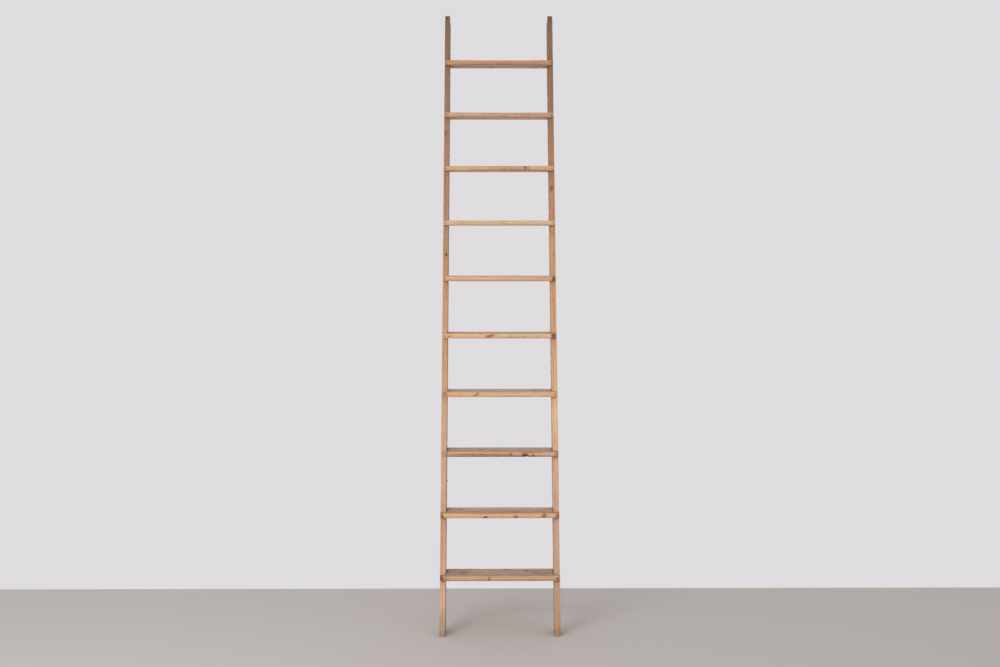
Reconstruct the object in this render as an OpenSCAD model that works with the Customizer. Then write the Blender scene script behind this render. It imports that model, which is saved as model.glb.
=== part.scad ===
// Ladder shelf: a tall, narrow wooden ladder with flat treads that leans against a wall.
// X runs across the ladder, +Y towards the wall behind it and +Z up. The feet stand on Z = 0, and
// the origin is the middle of the leaning ladder's footprint.

/* [Ladder] */
// Height of the stiles' front top corners above the floor
ladder_h = 2990; // [2850:10:3200]
// Width over both stiles
ladder_w = 553; // [450:1:650]
// Lean of the stiles from upright, in degrees
lean = 15.5; // [12:0.5:18]

/* [Stiles] */
// Thickness of a stile, seen from the front
stile_t = 28; // [22:1:34]
// Depth of a stile, square to its length
stile_d = 105; // [95:1:115]
// Radius of a stile's long edges, eased by hand
stile_edge_r = 2; // [1:0.5:4]
// Radius of the worn corners at a stile's top end
stile_tip_r = 7; // [3:1:10]

/* [Treads] */
// Thickness of a tread
tread_t = 25; // [20:1:30]
// Depth of a tread from its front edge to its back edge
tread_d = 134; // [126:1:134]
// Height of the lowest tread's front lower edge
first_tread_z = 243; // [200:1:280]
// Vertical distance from one tread to the next
tread_pitch = 275; // [260:1:284]
// How far the treads stand out in front of the stiles
nosing = 24; // [18:1:30]
// Slope of the treads down towards the front, in degrees
tread_tilt = 2.5; // [0:0.5:4]
// Radius of the treads' rounded front edges
nosing_r = 4; // [1:0.5:8]
// Depth of the housings that hold the treads' ends
housing = 6; // [3:1:9]

/* [Nails] */
// Radius of a nail's shank
nail_r = 1.3; // [1:0.1:2]
// Radius of an ear nail's small head, punched below the surface
lost_head_r = 1.8; // [1.5:0.1:2.4]
// Radius of a side nail's flat head
flat_head_r = 3; // [2.5:0.1:4]
// Length of a nail
nail_len = 45; // [35:1:48]

/* [Hidden] */
tread_count = 10;
// How far each ear stops short of its stile's outer face, lowest tread first. A whole stile_t means
// that the ear has broken off.
gone = stile_t;
left_ear_short = [0, 0, gone, gone, 6, 9, 3, 7, 3, 5];
right_ear_short = [0, 0, 0, 0, 22, 18, 5, 5, 5, 7];
// A nail needs this much ear to hold
nailed_ear = stile_t / 2 + 3;

half_w = ladder_w / 2;
inner_x = half_w - stile_t;
housed_x = inner_x + housing;
nail_x = half_w - stile_t / 2;
stile_len = ladder_h / cos(lean);
// Foot of the stiles' front face, which puts the origin halfway between front foot and back top
foot_y = -(ladder_h * tan(lean) + stile_d * cos(lean)) / 2;
// Side nails stand about a third and three quarters of the way into the depth of the stile
side_nail_y = [for (part = [0.33, 0.78]) nosing + part * stile_d];
// An ear nail's head lies this far below the wood
punched = 1;
head_t = 1.2;
// The old nail stands out of the left stile's inner side
old_nail_z = 686;
old_nail_depth = 12;
old_nail_out = 7;
old_nail_in = 18;
// Overshoot of cutting shapes
over = 40;

TREADS = [for (n = [1 : tread_count]) str("tread_", n < 10 ? "0" : "", n)];

STILE_COLOUR = [0.74, 0.54, 0.36];
TREAD_COLOUR = [0.82, 0.65, 0.46];
NAIL_COLOUR = [0.24, 0.21, 0.19];

function tread_z(n) = first_tread_z + (n - 1) * tread_pitch;
// Y of the stiles' front face at height z
function front_y(z) = foot_y + z * tan(lean);
function ear_short(n, side) = (side < 0 ? left_ear_short : right_ear_short)[n - 1];
function is_nailed(n, side) = stile_t - ear_short(n, side) >= nailed_ear;

// Rectangle from the origin with all four corners rounded
module rounded_rect(w, h, r) {
    translate([r, 0]) square([w - 2 * r, h]);
    translate([0, r]) square([w, h - 2 * r]);
    for (x = [r, w - r], y = [r, h - r])
        translate([x, y]) circle(r = r, $fn = 32);
}

// Puts its children in tread n's own frame: front lower edge on the X axis, Y along its depth
module at_tread(n) {
    translate([0, front_y(tread_z(n)) - nosing, tread_z(n)])
        rotate([tread_tilt, 0, 0]) children();
}

// Puts its children in the stiles' own frame: Y square to the front face, Z up along it
module at_stiles() {
    translate([0, foot_y, 0]) rotate([-lean, 0, 0]) children();
}

// Nail along +Z with the top of its head at the origin, driven downwards into -Z
module nail(head_r, length) {
    translate([0, 0, -head_t]) cylinder(h = head_t, r = head_r, $fn = 32);
    translate([0, 0, -length]) cylinder(h = length - head_t, r = nail_r, $fn = 32);
}

// Ear nail of tread n, driven straight back through the ear into the stile's front edge
module ear_nail(n, side) {
    at_tread(n) translate([side * nail_x, punched, tread_t / 2])
        rotate([90, 0, 0]) nail(lost_head_r, nail_len);
}

// Hole that an ear nail leaves: the nail's own shape, open to the front
module ear_nail_hole(n, side) {
    ear_nail(n, side);
    at_tread(n) translate([side * nail_x, punched, tread_t / 2])
        rotate([90, 0, 0]) cylinder(h = over, r = lost_head_r, $fn = 32);
}

// The two nails that pass through the stile's outer side into the end of tread n
module side_nail_pair(n, side) {
    for (y = side_nail_y)
        at_tread(n) translate([side * half_w, y, tread_t / 2])
            rotate([0, side * 90, 0]) nail(flat_head_r, nail_len);
}

module old_nail_shape() {
    at_stiles() translate([old_nail_out - inner_x, old_nail_depth, old_nail_z / cos(lean)])
        rotate([0, 90, 0]) nail(flat_head_r, old_nail_out + old_nail_in);
}

// Everything behind the stiles' front face at tread n, from x0 outwards on one side
module behind_front(n, side, x0) {
    at_stiles()
        translate([side < 0 ? -x0 - over : x0, 0, tread_z(n) / cos(lean) - 3 * tread_t])
            cube([over, stile_d + over, 6 * tread_t]);
}

// Everything in front of the stiles' front face at tread n, from x0 outwards on one side
module before_front(n, side, x0) {
    at_stiles()
        translate([side < 0 ? -x0 - over : x0, -over, tread_z(n) / cos(lean) - 3 * tread_t])
            cube([over, over, 6 * tread_t]);
}

// Long bar with eased edges, a worn top end and a foot cut level with the floor. Through its inner
// face run the housings for the treads.
module stile(side) {
    color(STILE_COLOUR) difference() {
        at_stiles() translate([side < 0 ? -half_w : inner_x, 0, 0]) intersection() {
            translate([0, 0, -stile_d]) linear_extrude(stile_len + stile_d)
                rounded_rect(stile_t, stile_d, stile_edge_r);
            translate([0, stile_d, -stile_d]) rotate([90, 0, 0]) linear_extrude(stile_d)
                rounded_rect(stile_t, stile_len + stile_d, stile_tip_r);
        }
        translate([-ladder_w, foot_y - over, -2 * stile_d]) cube([2 * ladder_w, 6 * stile_d, 2 * stile_d]);
        for (n = [1 : tread_count]) {
            at_tread(n) translate([-housed_x, -over, 0])
                cube([2 * housed_x, tread_d + 2 * over, tread_t]);
            ear_nail_hole(n, side);
            side_nail_pair(n, side);
        }
        if (side < 0) old_nail_shape();
    }
}

// Board housed in both stiles, with a rounded front that laps over them as an ear on each side
module tread(n) {
    color(TREAD_COLOUR) difference() {
        at_tread(n) translate([-half_w, 0, 0]) rotate([90, 0, 90]) linear_extrude(ladder_w) {
            rounded_rect(tread_d, tread_t, nosing_r);
            translate([tread_d / 2, 0]) square([tread_d / 2, tread_t]);
        }
        for (side = [-1, 1]) {
            behind_front(n, side, housed_x);
            if (ear_short(n, side) > 0) before_front(n, side, half_w - ear_short(n, side));
            if (is_nailed(n, side)) ear_nail_hole(n, side);
            side_nail_pair(n, side);
        }
    }
}

module ear_nails(side) {
    color(NAIL_COLOUR)
        for (n = [1 : tread_count])
            if (is_nailed(n, side)) ear_nail(n, side);
}

module side_nails(side) {
    color(NAIL_COLOUR)
        for (n = [1 : tread_count]) side_nail_pair(n, side);
}

module old_nail() {
    color(NAIL_COLOUR) old_nail_shape();
}

stile(-1);  // stile_left
stile(1);  // stile_right
for (n = [1 : tread_count])
    tread(n);
ear_nails(-1);  // ear_nails_left
ear_nails(1);  // ear_nails_right
side_nails(-1);  // side_nails_left
side_nails(1);  // side_nails_right
old_nail();
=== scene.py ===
import math

import bmesh
import bpy
from mathutils import Euler, Matrix, Vector


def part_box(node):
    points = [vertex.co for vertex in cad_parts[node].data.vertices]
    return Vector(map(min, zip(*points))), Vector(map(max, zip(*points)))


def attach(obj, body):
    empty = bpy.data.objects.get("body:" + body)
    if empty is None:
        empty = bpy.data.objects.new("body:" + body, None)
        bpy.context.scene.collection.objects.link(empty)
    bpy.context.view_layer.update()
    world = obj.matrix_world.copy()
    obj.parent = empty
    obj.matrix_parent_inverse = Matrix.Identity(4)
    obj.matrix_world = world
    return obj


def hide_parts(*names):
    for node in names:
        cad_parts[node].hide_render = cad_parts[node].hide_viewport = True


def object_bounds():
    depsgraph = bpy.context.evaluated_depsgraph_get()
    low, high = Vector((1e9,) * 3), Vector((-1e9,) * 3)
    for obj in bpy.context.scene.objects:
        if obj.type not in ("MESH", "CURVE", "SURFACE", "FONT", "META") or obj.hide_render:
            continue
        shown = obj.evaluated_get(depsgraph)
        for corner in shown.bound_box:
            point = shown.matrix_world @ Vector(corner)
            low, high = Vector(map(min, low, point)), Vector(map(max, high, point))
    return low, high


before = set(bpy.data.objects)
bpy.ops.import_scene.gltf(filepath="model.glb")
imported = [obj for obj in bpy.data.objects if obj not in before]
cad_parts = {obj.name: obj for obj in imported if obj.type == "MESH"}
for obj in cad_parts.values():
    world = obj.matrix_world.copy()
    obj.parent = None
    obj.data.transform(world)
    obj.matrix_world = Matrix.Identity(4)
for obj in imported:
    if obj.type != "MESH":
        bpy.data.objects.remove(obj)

cad_low, cad_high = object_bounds()


# The stiles: two long pine boards set on edge, which lean back against the wall. Each was planed
# square and sawn level at the foot, has slots called housings cut across its inner face for the
# treads, and has had its edges knocked soft and its top end darkened by long use.
LEAN = math.radians(15.5)
STILE_THICKNESS = 0.028
STILE_DEPTH = 0.105
STILE_LENGTH = cad_high.z / math.cos(LEAN)
STILE_X = cad_high.x - STILE_THICKNESS / 2
INNER_X = cad_high.x - STILE_THICKNESS
# The bar starts below the floor, so that its level cut takes a slice off it
STILE_STUB = 0.04
EDGE_ROUND = 0.0025
TIP_ROUND = 0.004
# Room left between a board and its full outline, so that bumps stay inside it
SKIN = 0.0003
# An edge's wear has this weight at the corner, cut off at 1, and loses 1 for each such reach inwards
EDGE_WEAR_PEAK = 1.2
EDGE_WEAR_REACH = 0.006
TOP_END_REACH = 0.03
FOOT_REACH = 0.05
# How far a cutter runs past the board that it cuts
OVERSHOOT = 0.04
SMOOTH_BELOW = math.radians(38)
# Drying cracks in a stile's top end: place across and deep, turn in degrees, width and depth
DRYING_CRACKS = (
    (0.004, 0.018, 14, 0.0009, 0.045),
    (-0.005, 0.052, -8, 0.0012, 0.07),
    (0.002, 0.083, 11, 0.0008, 0.035))
CRACK_REACH = 0.011

TREAD_COUNT = 10
TREAD_TILT = math.radians(2.5)
TREAD_THICKNESS = 0.025
TREAD_DEPTH = 0.134
NOSING = 0.024
NOSING_ROUND = 0.004
HOUSING = 0.006
FIT = 0.0003
EAR_NAIL_RADIUS = 0.0018
SIDE_NAIL_RADIUS = 0.003
SIDE_NAIL_Y = (NOSING + 0.33 * STILE_DEPTH, NOSING + 0.78 * STILE_DEPTH)
SHANK_RADIUS = 0.0013
# Room around a nail's head or shank in its hole, and how deep the holes go
NAIL_ROOM = 0.0003
SIDE_NAIL_RECESS = 0.0013
EAR_NAIL_RECESS = 0.0014
BARE_HOLE_DEPTH = 0.014
# Treads whose ear is gone or too short for a nail, so that the stile shows an empty nail hole
BARE_NAIL_HOLES = {-1: (3, 4), 1: (5, 6)}
OLD_NAIL_HEIGHT = 0.686
OLD_NAIL_DEPTH = 0.012


def make_active(piece):
    bpy.ops.object.select_all(action="DESELECT")
    piece.select_set(True)
    bpy.context.view_layer.objects.active = piece


def put(piece, place):
    """Moves a piece by a matrix, and keeps its new place in its mesh."""
    piece.matrix_world = place
    make_active(piece)
    bpy.ops.object.transform_apply(location=True, rotation=True, scale=True)


def pick_faces(piece, wanted):
    """In edit mode, selects only the faces whose middle and normal are wanted."""
    bpy.ops.mesh.select_mode(type="FACE")
    bpy.ops.mesh.select_all(action="DESELECT")
    work = bmesh.from_edit_mesh(piece.data)
    for face in work.faces:
        face.select_set(wanted(face.calc_center_median(), face.normal))
    bmesh.update_edit_mesh(piece.data)


def pick_edges(piece, wanted):
    """In edit mode, selects only the edges whose two ends are wanted."""
    bpy.ops.mesh.select_mode(type="EDGE")
    bpy.ops.mesh.select_all(action="DESELECT")
    work = bmesh.from_edit_mesh(piece.data)
    for edge in work.edges:
        edge.select_set(wanted(edge.verts[0].co, edge.verts[1].co))
    bmesh.update_edit_mesh(piece.data)


def runs_along(a, b, axis, longer_than):
    """True for an edge that lies nearly along one axis and is longer than the given length."""
    span = b - a
    return span.length > longer_than and abs(span[axis]) > 0.94 * span.length


def cut_edges(piece, axis, longer_than, cuts):
    """Divides every edge that runs along an axis, which rings the piece with new edges."""
    pick_edges(piece, lambda a, b: runs_along(a, b, axis, longer_than))
    bpy.ops.mesh.subdivide(number_cuts=cuts)


def weight_points(piece, name, weight_of):
    """Vertex group whose weight weight_of gives for each point of the mesh."""
    group = piece.vertex_groups.new(name=name)
    for vertex in piece.data.vertices:
        weight = min(weight_of(vertex.co), 1)
        if weight > 0:
            group.add([vertex.index], weight, "REPLACE")


def wear(piece, name, patch, depth, contrast=1.0, level=1.0, group=""):
    """Takes wood away in cloudy patches of about the given size, and at most to that depth."""
    texture = bpy.data.textures.new(name, "CLOUDS")
    texture.noise_scale = patch
    texture.noise_depth = 2
    texture.contrast = contrast
    texture.intensity = level
    texture.use_clamp = True
    worn = piece.modifiers.new(name, "DISPLACE")
    worn.texture = texture
    worn.texture_coords = "LOCAL"
    worn.direction = "NORMAL"
    worn.mid_level = 1.0
    worn.strength = depth
    worn.vertex_group = group
    bpy.ops.object.modifier_apply(modifier=name)


def points_of(piece):
    return [vertex.co.copy() for vertex in piece.data.vertices]


def note_lost_wood(piece, points_before):
    """Keeps at each point how much wood it has lost, in metres, for the material to read."""
    lost = piece.data.attributes.new("lost_wood", "FLOAT", "POINT")
    for vertex, before in zip(piece.data.vertices, points_before):
        lost.data[vertex.index].value = (vertex.co - before).length


def tread_node(n):
    return "tread_%02d" % n


def at_tread(n):
    """Frame of tread n, whose X axis is the tread's front lower edge before rounding."""
    rounded_off = NOSING_ROUND * (math.sin(TREAD_TILT) + math.cos(TREAD_TILT) - 1)
    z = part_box(tread_node(n))[0].z - rounded_off
    y = cad_low.y + z * math.tan(LEAN) - NOSING
    return Matrix.Translation((0, y, z)) @ Matrix.Rotation(TREAD_TILT, 4, "X")


def at_stiles():
    """Frame of the stiles, with Y square to their front face and Z up along it."""
    return Matrix.Translation((0, cad_low.y, 0)) @ Matrix.Rotation(-LEAN, 4, "X")


def cutting_block(place, low, high):
    """Block between two corners, given in the frame of place."""
    low, high = Vector(low), Vector(high)
    size = (abs(part) for part in high - low)
    bpy.ops.mesh.primitive_cube_add(size=1)
    block = bpy.context.object
    put(block, place @ Matrix.Translation((low + high) / 2) @ Matrix.Diagonal((*size, 1)))
    return block


def cutting_drill(place, radius, depth):
    """Round bar that runs to the given depth both ways from place, along its Z axis."""
    bpy.ops.mesh.primitive_cylinder_add(vertices=20, radius=radius, depth=2 * depth)
    drill = bpy.context.object
    put(drill, place)
    return drill


def cut_away(piece, cutters):
    """Takes the cutters' shapes out of a piece, and removes the cutters."""
    bpy.ops.object.select_all(action="DESELECT")
    for cutter in cutters:
        cutter.select_set(True)
    cutter = cutters[0]
    bpy.context.view_layer.objects.active = cutter
    bpy.ops.object.join()
    make_active(piece)
    taken = piece.modifiers.new("taken_away", "BOOLEAN")
    taken.operation = "DIFFERENCE"
    taken.solver = "MANIFOLD"
    taken.object = cutter
    bpy.ops.object.modifier_apply(modifier=taken.name)
    bpy.data.objects.remove(cutter)


def finish_shape(piece, name):
    """Names a finished piece and its mesh, and smooths it except at its sharp edges."""
    piece.name = name
    piece.data.name = name
    make_active(piece)
    bpy.ops.object.shade_smooth_by_angle(angle=SMOOTH_BELOW)


def ear_nail_place(n, side):
    """Where the top of an ear nail's head lies, with Z out of the wood."""
    punched = 0.001
    spot = Matrix.Translation((side * STILE_X, punched, TREAD_THICKNESS / 2))
    return at_tread(n) @ spot @ Matrix.Rotation(math.radians(90), 4, "X")


def side_nail_place(n, side, y):
    """Where the top of a side nail's head lies, with Z out of the wood."""
    sunk = 0.0009
    spot = Matrix.Translation((side * (cad_high.x - sunk), y, TREAD_THICKNESS / 2))
    return at_tread(n) @ spot @ Matrix.Rotation(math.radians(side * 90), 4, "Y")


def planed_bar(middle_x):
    """The board before it is leant back: upright, with its front face at Y = 0."""
    height = STILE_LENGTH + STILE_STUB
    bpy.ops.mesh.primitive_cube_add(
        size=1,
        location=(middle_x, STILE_DEPTH / 2, height / 2 - STILE_STUB),
        scale=(STILE_THICKNESS - 2 * SKIN, STILE_DEPTH - 2 * SKIN, height - 2 * SKIN))
    bar = bpy.context.object
    make_active(bar)
    bpy.ops.object.transform_apply(location=True, rotation=True, scale=True)
    bpy.ops.object.mode_set(mode="EDIT")
    pick_faces(bar, lambda middle, normal: normal.z > 0.9)
    bpy.ops.mesh.bevel(offset=TIP_ROUND, segments=4, affect="EDGES")
    pick_edges(bar, lambda a, b: runs_along(a, b, 2, 1.0))
    bpy.ops.mesh.bevel(offset=EDGE_ROUND, segments=3, affect="EDGES")
    cut_edges(bar, axis=2, longer_than=0.02, cuts=27)
    cut_edges(bar, axis=2, longer_than=0.02, cuts=27)
    cut_edges(bar, axis=1, longer_than=0.05, cuts=17)
    cut_edges(bar, axis=0, longer_than=0.01, cuts=4)
    bpy.ops.object.mode_set(mode="OBJECT")
    return bar


def corner_weight(point, middle_x):
    """1 on the bar's long edges, falling to 0 some way in from them."""
    from_side = max(STILE_THICKNESS / 2 - abs(point.x - middle_x), 0)
    from_front = max(min(point.y, STILE_DEPTH - point.y), 0)
    return EDGE_WEAR_PEAK - math.hypot(from_side, from_front) / EDGE_WEAR_REACH


def cuts_in_stile(side):
    """The level foot, the housings, nail holes and the drying cracks in a stile's top end."""
    under_floor = cutting_block(Matrix(), (-1, -1, -0.2), (1, 1, 0))
    cutters = [under_floor]
    for n in range(1, TREAD_COUNT + 1):
        block = cutting_block(
            at_tread(n),
            (side * (INNER_X - 0.01), -OVERSHOOT, -FIT),
            (side * (INNER_X + HOUSING + FIT), TREAD_DEPTH + OVERSHOOT, TREAD_THICKNESS + FIT))
        cutters.append(block)
        for y in SIDE_NAIL_Y:
            nail_head = side_nail_place(n, side, y)
            cutters.append(cutting_drill(nail_head, SIDE_NAIL_RADIUS + NAIL_ROOM, SIDE_NAIL_RECESS))
    for n in BARE_NAIL_HOLES[side]:
        hole = ear_nail_place(n, side) @ Matrix.Translation((0, 0, -NOSING - 0.004))
        cutters.append(cutting_drill(hole, SHANK_RADIUS + NAIL_ROOM, BARE_HOLE_DEPTH))
    for x, y, turn, width, deep in DRYING_CRACKS:
        crack = at_stiles() @ Matrix.Translation((side * STILE_X + x, y, STILE_LENGTH))
        crack = crack @ Matrix.Rotation(math.radians(turn * side), 4, "Z")
        cutters.append(cutting_block(
            crack, (-width / 2, -CRACK_REACH, -deep), (width / 2, CRACK_REACH, 0.01)))
    return cutters


stiles = {}
for side, side_name in ((-1, "left"), (1, "right")):
    middle_x = side * STILE_X
    bar = planed_bar(middle_x)
    weight_points(bar, "edges", lambda point: corner_weight(point, middle_x))
    weight_points(bar, "top_end", lambda point: 1 - (STILE_LENGTH - point.z) / TOP_END_REACH)
    weight_points(
        bar, "foot", lambda point: (1 - point.z / FOOT_REACH) * corner_weight(point, middle_x) * 2)
    planed = points_of(bar)
    wear(bar, "bowed", 0.60, 0.0006)
    wear(bar, "planed", 0.030, 0.00012)
    wear(bar, "rubbed_edges", 0.16, 0.0008, group="edges")
    wear(bar, "chipped_edges", 0.022, 0.0024, contrast=5.0, level=2.44, group="edges")
    wear(bar, "worn_top_end", 0.012, 0.0016, group="top_end")
    wear(bar, "bruised_foot", 0.010, 0.0030, group="foot")
    note_lost_wood(bar, planed)
    put(bar, at_stiles())
    cut_away(bar, cuts_in_stile(side))
    finish_shape(bar, "stile_board_" + side_name)
    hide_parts("stile_" + side_name)
    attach(bar, "root")
    stiles[side] = bar


def colour(red, green, blue):
    """Colour for a shader from three 0 to 255 values."""
    return tuple(((part / 255 + 0.055) / 1.055) ** 2.4 for part in (red, green, blue)) + (1,)


def add(tree, kind, sources, **settings):
    """Adds a node, sets it up, feeds its inputs from values or sockets, and returns its outputs."""
    made = tree.nodes.new(kind)
    for name, value in settings.items():
        setattr(made, name, value)
    for name, source in sources.items():
        if isinstance(source, bpy.types.NodeSocket):
            tree.links.new(source, made.inputs[name])
        else:
            made.inputs[name].default_value = source
    return made.outputs


def calc(tree, operation, *sources):
    return add(tree, "ShaderNodeMath", dict(enumerate(sources)), operation=operation)[0]


def vector_calc(tree, operation, *sources):
    outputs = add(tree, "ShaderNodeVectorMath", dict(enumerate(sources)), operation=operation)
    return outputs["Value" if operation in ("LENGTH", "DOT_PRODUCT") else "Vector"]


def fade(tree, value, start, end):
    """0 at start and 1 at end, with a smooth change between."""
    sources = {"Value": value, "From Min": start, "From Max": end}
    return add(tree, "ShaderNodeMapRange", sources, interpolation_type="SMOOTHSTEP")["Result"]


def clouds(tree, place, sizes, detail=3.0, roughness=0.5):
    """Noise in patches of about the given sizes in metres along X, Y and Z."""
    spread = vector_calc(tree, "MULTIPLY", place, tuple(1 / size for size in sizes))
    sources = {"Vector": spread, "Scale": 1.0, "Detail": detail, "Roughness": roughness}
    return add(tree, "ShaderNodeTexNoise", sources)


def tint(tree, base, amount, over, way="MULTIPLY"):
    """Lays a colour over the base, as strongly as amount says."""
    outputs = add(
        tree, "ShaderNodeMix", {0: amount, 6: base, 7: over}, data_type="RGBA", blend_type=way)
    return outputs[2]


def reach_from(tree, place, spot):
    """Distance from the middle of an egg-shaped spot, where 1 is its outline."""
    centre, radii, turn = spot
    sources = {
        "Vector": place,
        "Location": centre,
        "Rotation": (0, math.radians(turn), 0),
        "Scale": radii}
    return vector_calc(
        tree, "LENGTH", add(tree, "ShaderNodeMapping", sources, vector_type="TEXTURE")["Vector"])


def nearest(tree, place, spots):
    """Reach from whichever spot is nearest, or a long way where there are none."""
    least = 99.0
    for spot in spots:
        least = calc(tree, "MINIMUM", least, reach_from(tree, place, spot))
    return least


def board_place(tree, origin, turn):
    """Object coordinates turned to lie along a board: X with the grain, Z through the board."""
    sources = {
        "Vector": add(tree, "ShaderNodeTexCoord", {})["Object"],
        "Location": origin,
        "Rotation": turn}
    return add(tree, "ShaderNodeMapping", sources, vector_type="TEXTURE")["Vector"]


RING_SPACING = 0.0031
GRAIN_SWING = 0.010


def pine(tree, place, base, seed, pith, red_knots, dark_knots):
    """Old pine as a solid: rings around the pith, streaks, fibres and knots, over a base colour.

    Returns its colour and its bumps in metres.
    """
    sample = vector_calc(tree, "ADD", place, (seed * 1.7, seed * 0.9, seed * 2.3))
    # Growth rings sway slowly along the trunk and waver a little from fibre to fibre
    sway = vector_calc(tree, "SUBTRACT", clouds(tree, sample, (0.8, 0.14, 0.14), 0.0)["Color"], (0.5,) * 3)
    sway = vector_calc(tree, "MULTIPLY", sway, (0, 0.034, 0.034))
    waver = clouds(tree, sample, (0.14, 0.014, 0.014), 1.5)["Color"]
    waver = vector_calc(tree, "SUBTRACT", waver, (0.5,) * 3)
    fray = clouds(tree, sample, (0.009, 0.0035, 0.0035), 2.0, 0.6)["Color"]
    fray = vector_calc(tree, "SUBTRACT", fray, (0.5,) * 3)
    ragged = vector_calc(tree, "MULTIPLY_ADD", waver, (0.012, 0.007, 0.007), place)
    ragged = vector_calc(tree, "MULTIPLY_ADD", fray, (0.012, 0.0045, 0.0045), ragged)
    red_reach = nearest(tree, ragged, red_knots)
    dark_reach = nearest(tree, ragged, dark_knots)
    reach = calc(tree, "MINIMUM", red_reach, dark_reach)
    across = vector_calc(tree, "ADD", vector_calc(tree, "SUBTRACT", place, (0, *pith)), sway)
    across = vector_calc(tree, "MULTIPLY_ADD", waver, (0, 0.0014, 0.0014), across)
    across = vector_calc(tree, "MULTIPLY", across, (0, 1, 1))
    out = vector_calc(tree, "LENGTH", across)
    # Grain swings out around a knot
    out = calc(tree, "MULTIPLY_ADD", fade(tree, reach, 4.0, 0.6), GRAIN_SWING, out)
    rings = calc(tree, "DIVIDE", out, RING_SPACING)
    in_ring = calc(tree, "FRACT", rings)
    each_ring = add(
        tree, "ShaderNodeTexWhiteNoise", {"W": calc(tree, "FLOOR", rings)},
        noise_dimensions="1D")["Value"]
    late = calc(tree, "MULTIPLY", fade(tree, in_ring, 0.30, 0.93), fade(tree, in_ring, 1.0, 0.94))
    late = calc(tree, "MULTIPLY", late, calc(tree, "MULTIPLY_ADD", each_ring, 0.65, 0.35))

    streak = clouds(tree, sample, (0.60, 0.010, 0.010), 3.0, 0.55)["Fac"]
    patch = clouds(tree, sample, (0.30, 0.06, 0.06), 2.0)["Fac"]
    fibre = clouds(tree, sample, (0.045, 0.0010, 0.0010), 4.0, 0.65)["Fac"]
    tick = clouds(tree, sample, (0.020, 0.0007, 0.0007), 1.0)["Fac"]
    grime = clouds(tree, sample, (0.12, 0.03, 0.03), 5.0, 0.62)["Fac"]
    mottle = clouds(tree, sample, (0.050, 0.010, 0.010), 3.0, 0.6)["Fac"]

    shade = tint(tree, base, 1.0, (1.10, 1.13, 1.15, 1))
    shade = tint(tree, shade, late, (0.80, 0.67, 0.53, 1))
    for noise, start, end, over in (
            (streak, 0.48, 0.70, (0.86, 0.79, 0.73)), (streak, 0.50, 0.32, (1.08, 1.09, 1.06)),
            (patch, 0.45, 0.65, (1.02, 0.97, 0.96)), (patch, 0.50, 0.32, (1.01, 1.02, 0.90)),
            (fibre, 0.50, 0.72, (0.82, 0.77, 0.72)), (fibre, 0.48, 0.30, (1.09, 1.10, 1.10)),
            (tick, 0.68, 0.76, (0.62, 0.50, 0.42)), (grime, 0.58, 0.78, (0.76, 0.69, 0.63)),
            (mottle, 0.50, 0.72, (0.88, 0.84, 0.81)), (mottle, 0.48, 0.28, (1.07, 1.08, 1.08))):
        shade = tint(tree, shade, fade(tree, noise, start, end), (*over, 1))

    # Knots: a flush of darker wood around each, a thin dark rim, and rings of their own
    shade = tint(tree, shade, fade(tree, reach, 2.3, 0.8), (0.87, 0.75, 0.64, 1))
    core = calc(tree, "SINE", calc(tree, "MULTIPLY", reach, 26.0))
    in_red = fade(tree, red_reach, 1.10, 0.75)
    in_dark = fade(tree, dark_reach, 1.10, 0.75)
    shade = tint(tree, shade, calc(tree, "MULTIPLY", in_red, 0.62), (0.290, 0.140, 0.068, 1), "MIX")
    shade = tint(tree, shade, calc(tree, "MULTIPLY", in_dark, 0.80), (0.135, 0.070, 0.042, 1), "MIX")
    inside = calc(tree, "MAXIMUM", in_red, in_dark)
    shade = tint(
        tree, shade, calc(tree, "MULTIPLY", fade(tree, core, 0.1, 0.9), inside), (0.66, 0.58, 0.52, 1))
    rim = calc(tree, "MULTIPLY", fade(tree, reach, 0.84, 0.97), fade(tree, reach, 1.12, 1.0))
    shade = tint(tree, shade, calc(tree, "MULTIPLY", rim, 0.6), (0.38, 0.30, 0.25, 1))

    height = calc(tree, "MULTIPLY", late, 0.00016)
    height = calc(tree, "MULTIPLY_ADD", fibre, -0.00022, height)
    height = calc(tree, "MULTIPLY_ADD", fade(tree, tick, 0.64, 0.74), -0.00012, height)
    height = calc(tree, "MULTIPLY_ADD", inside, 0.00035, height)
    height = calc(tree, "MULTIPLY_ADD", rim, -0.0004, height)
    dents = clouds(tree, sample, (0.016, 0.007, 0.007), 2.0)["Fac"]
    height = calc(tree, "MULTIPLY_ADD", fade(tree, dents, 0.60, 0.74), -0.00045, height)
    return shade, height


def stained_and_shaded(tree, shade, place, stains_and_shade):
    """Soft-edged spots, stains and some painted shade, each with a place, radii, turn and the colour that it
    multiplies by.
    """
    blur = clouds(tree, place, (0.02, 0.006, 0.006), 3.0, 0.6)["Color"]
    blur = vector_calc(tree, "SUBTRACT", blur, (0.5,) * 3)
    frayed = vector_calc(tree, "MULTIPLY_ADD", blur, (0.022, 0.006, 0.006), place)
    for spot, over in stains_and_shade:
        reach = reach_from(tree, frayed, spot)
        shade = tint(tree, shade, fade(tree, reach, 1.25, 0.55), (*over, 1))
    return shade


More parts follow.
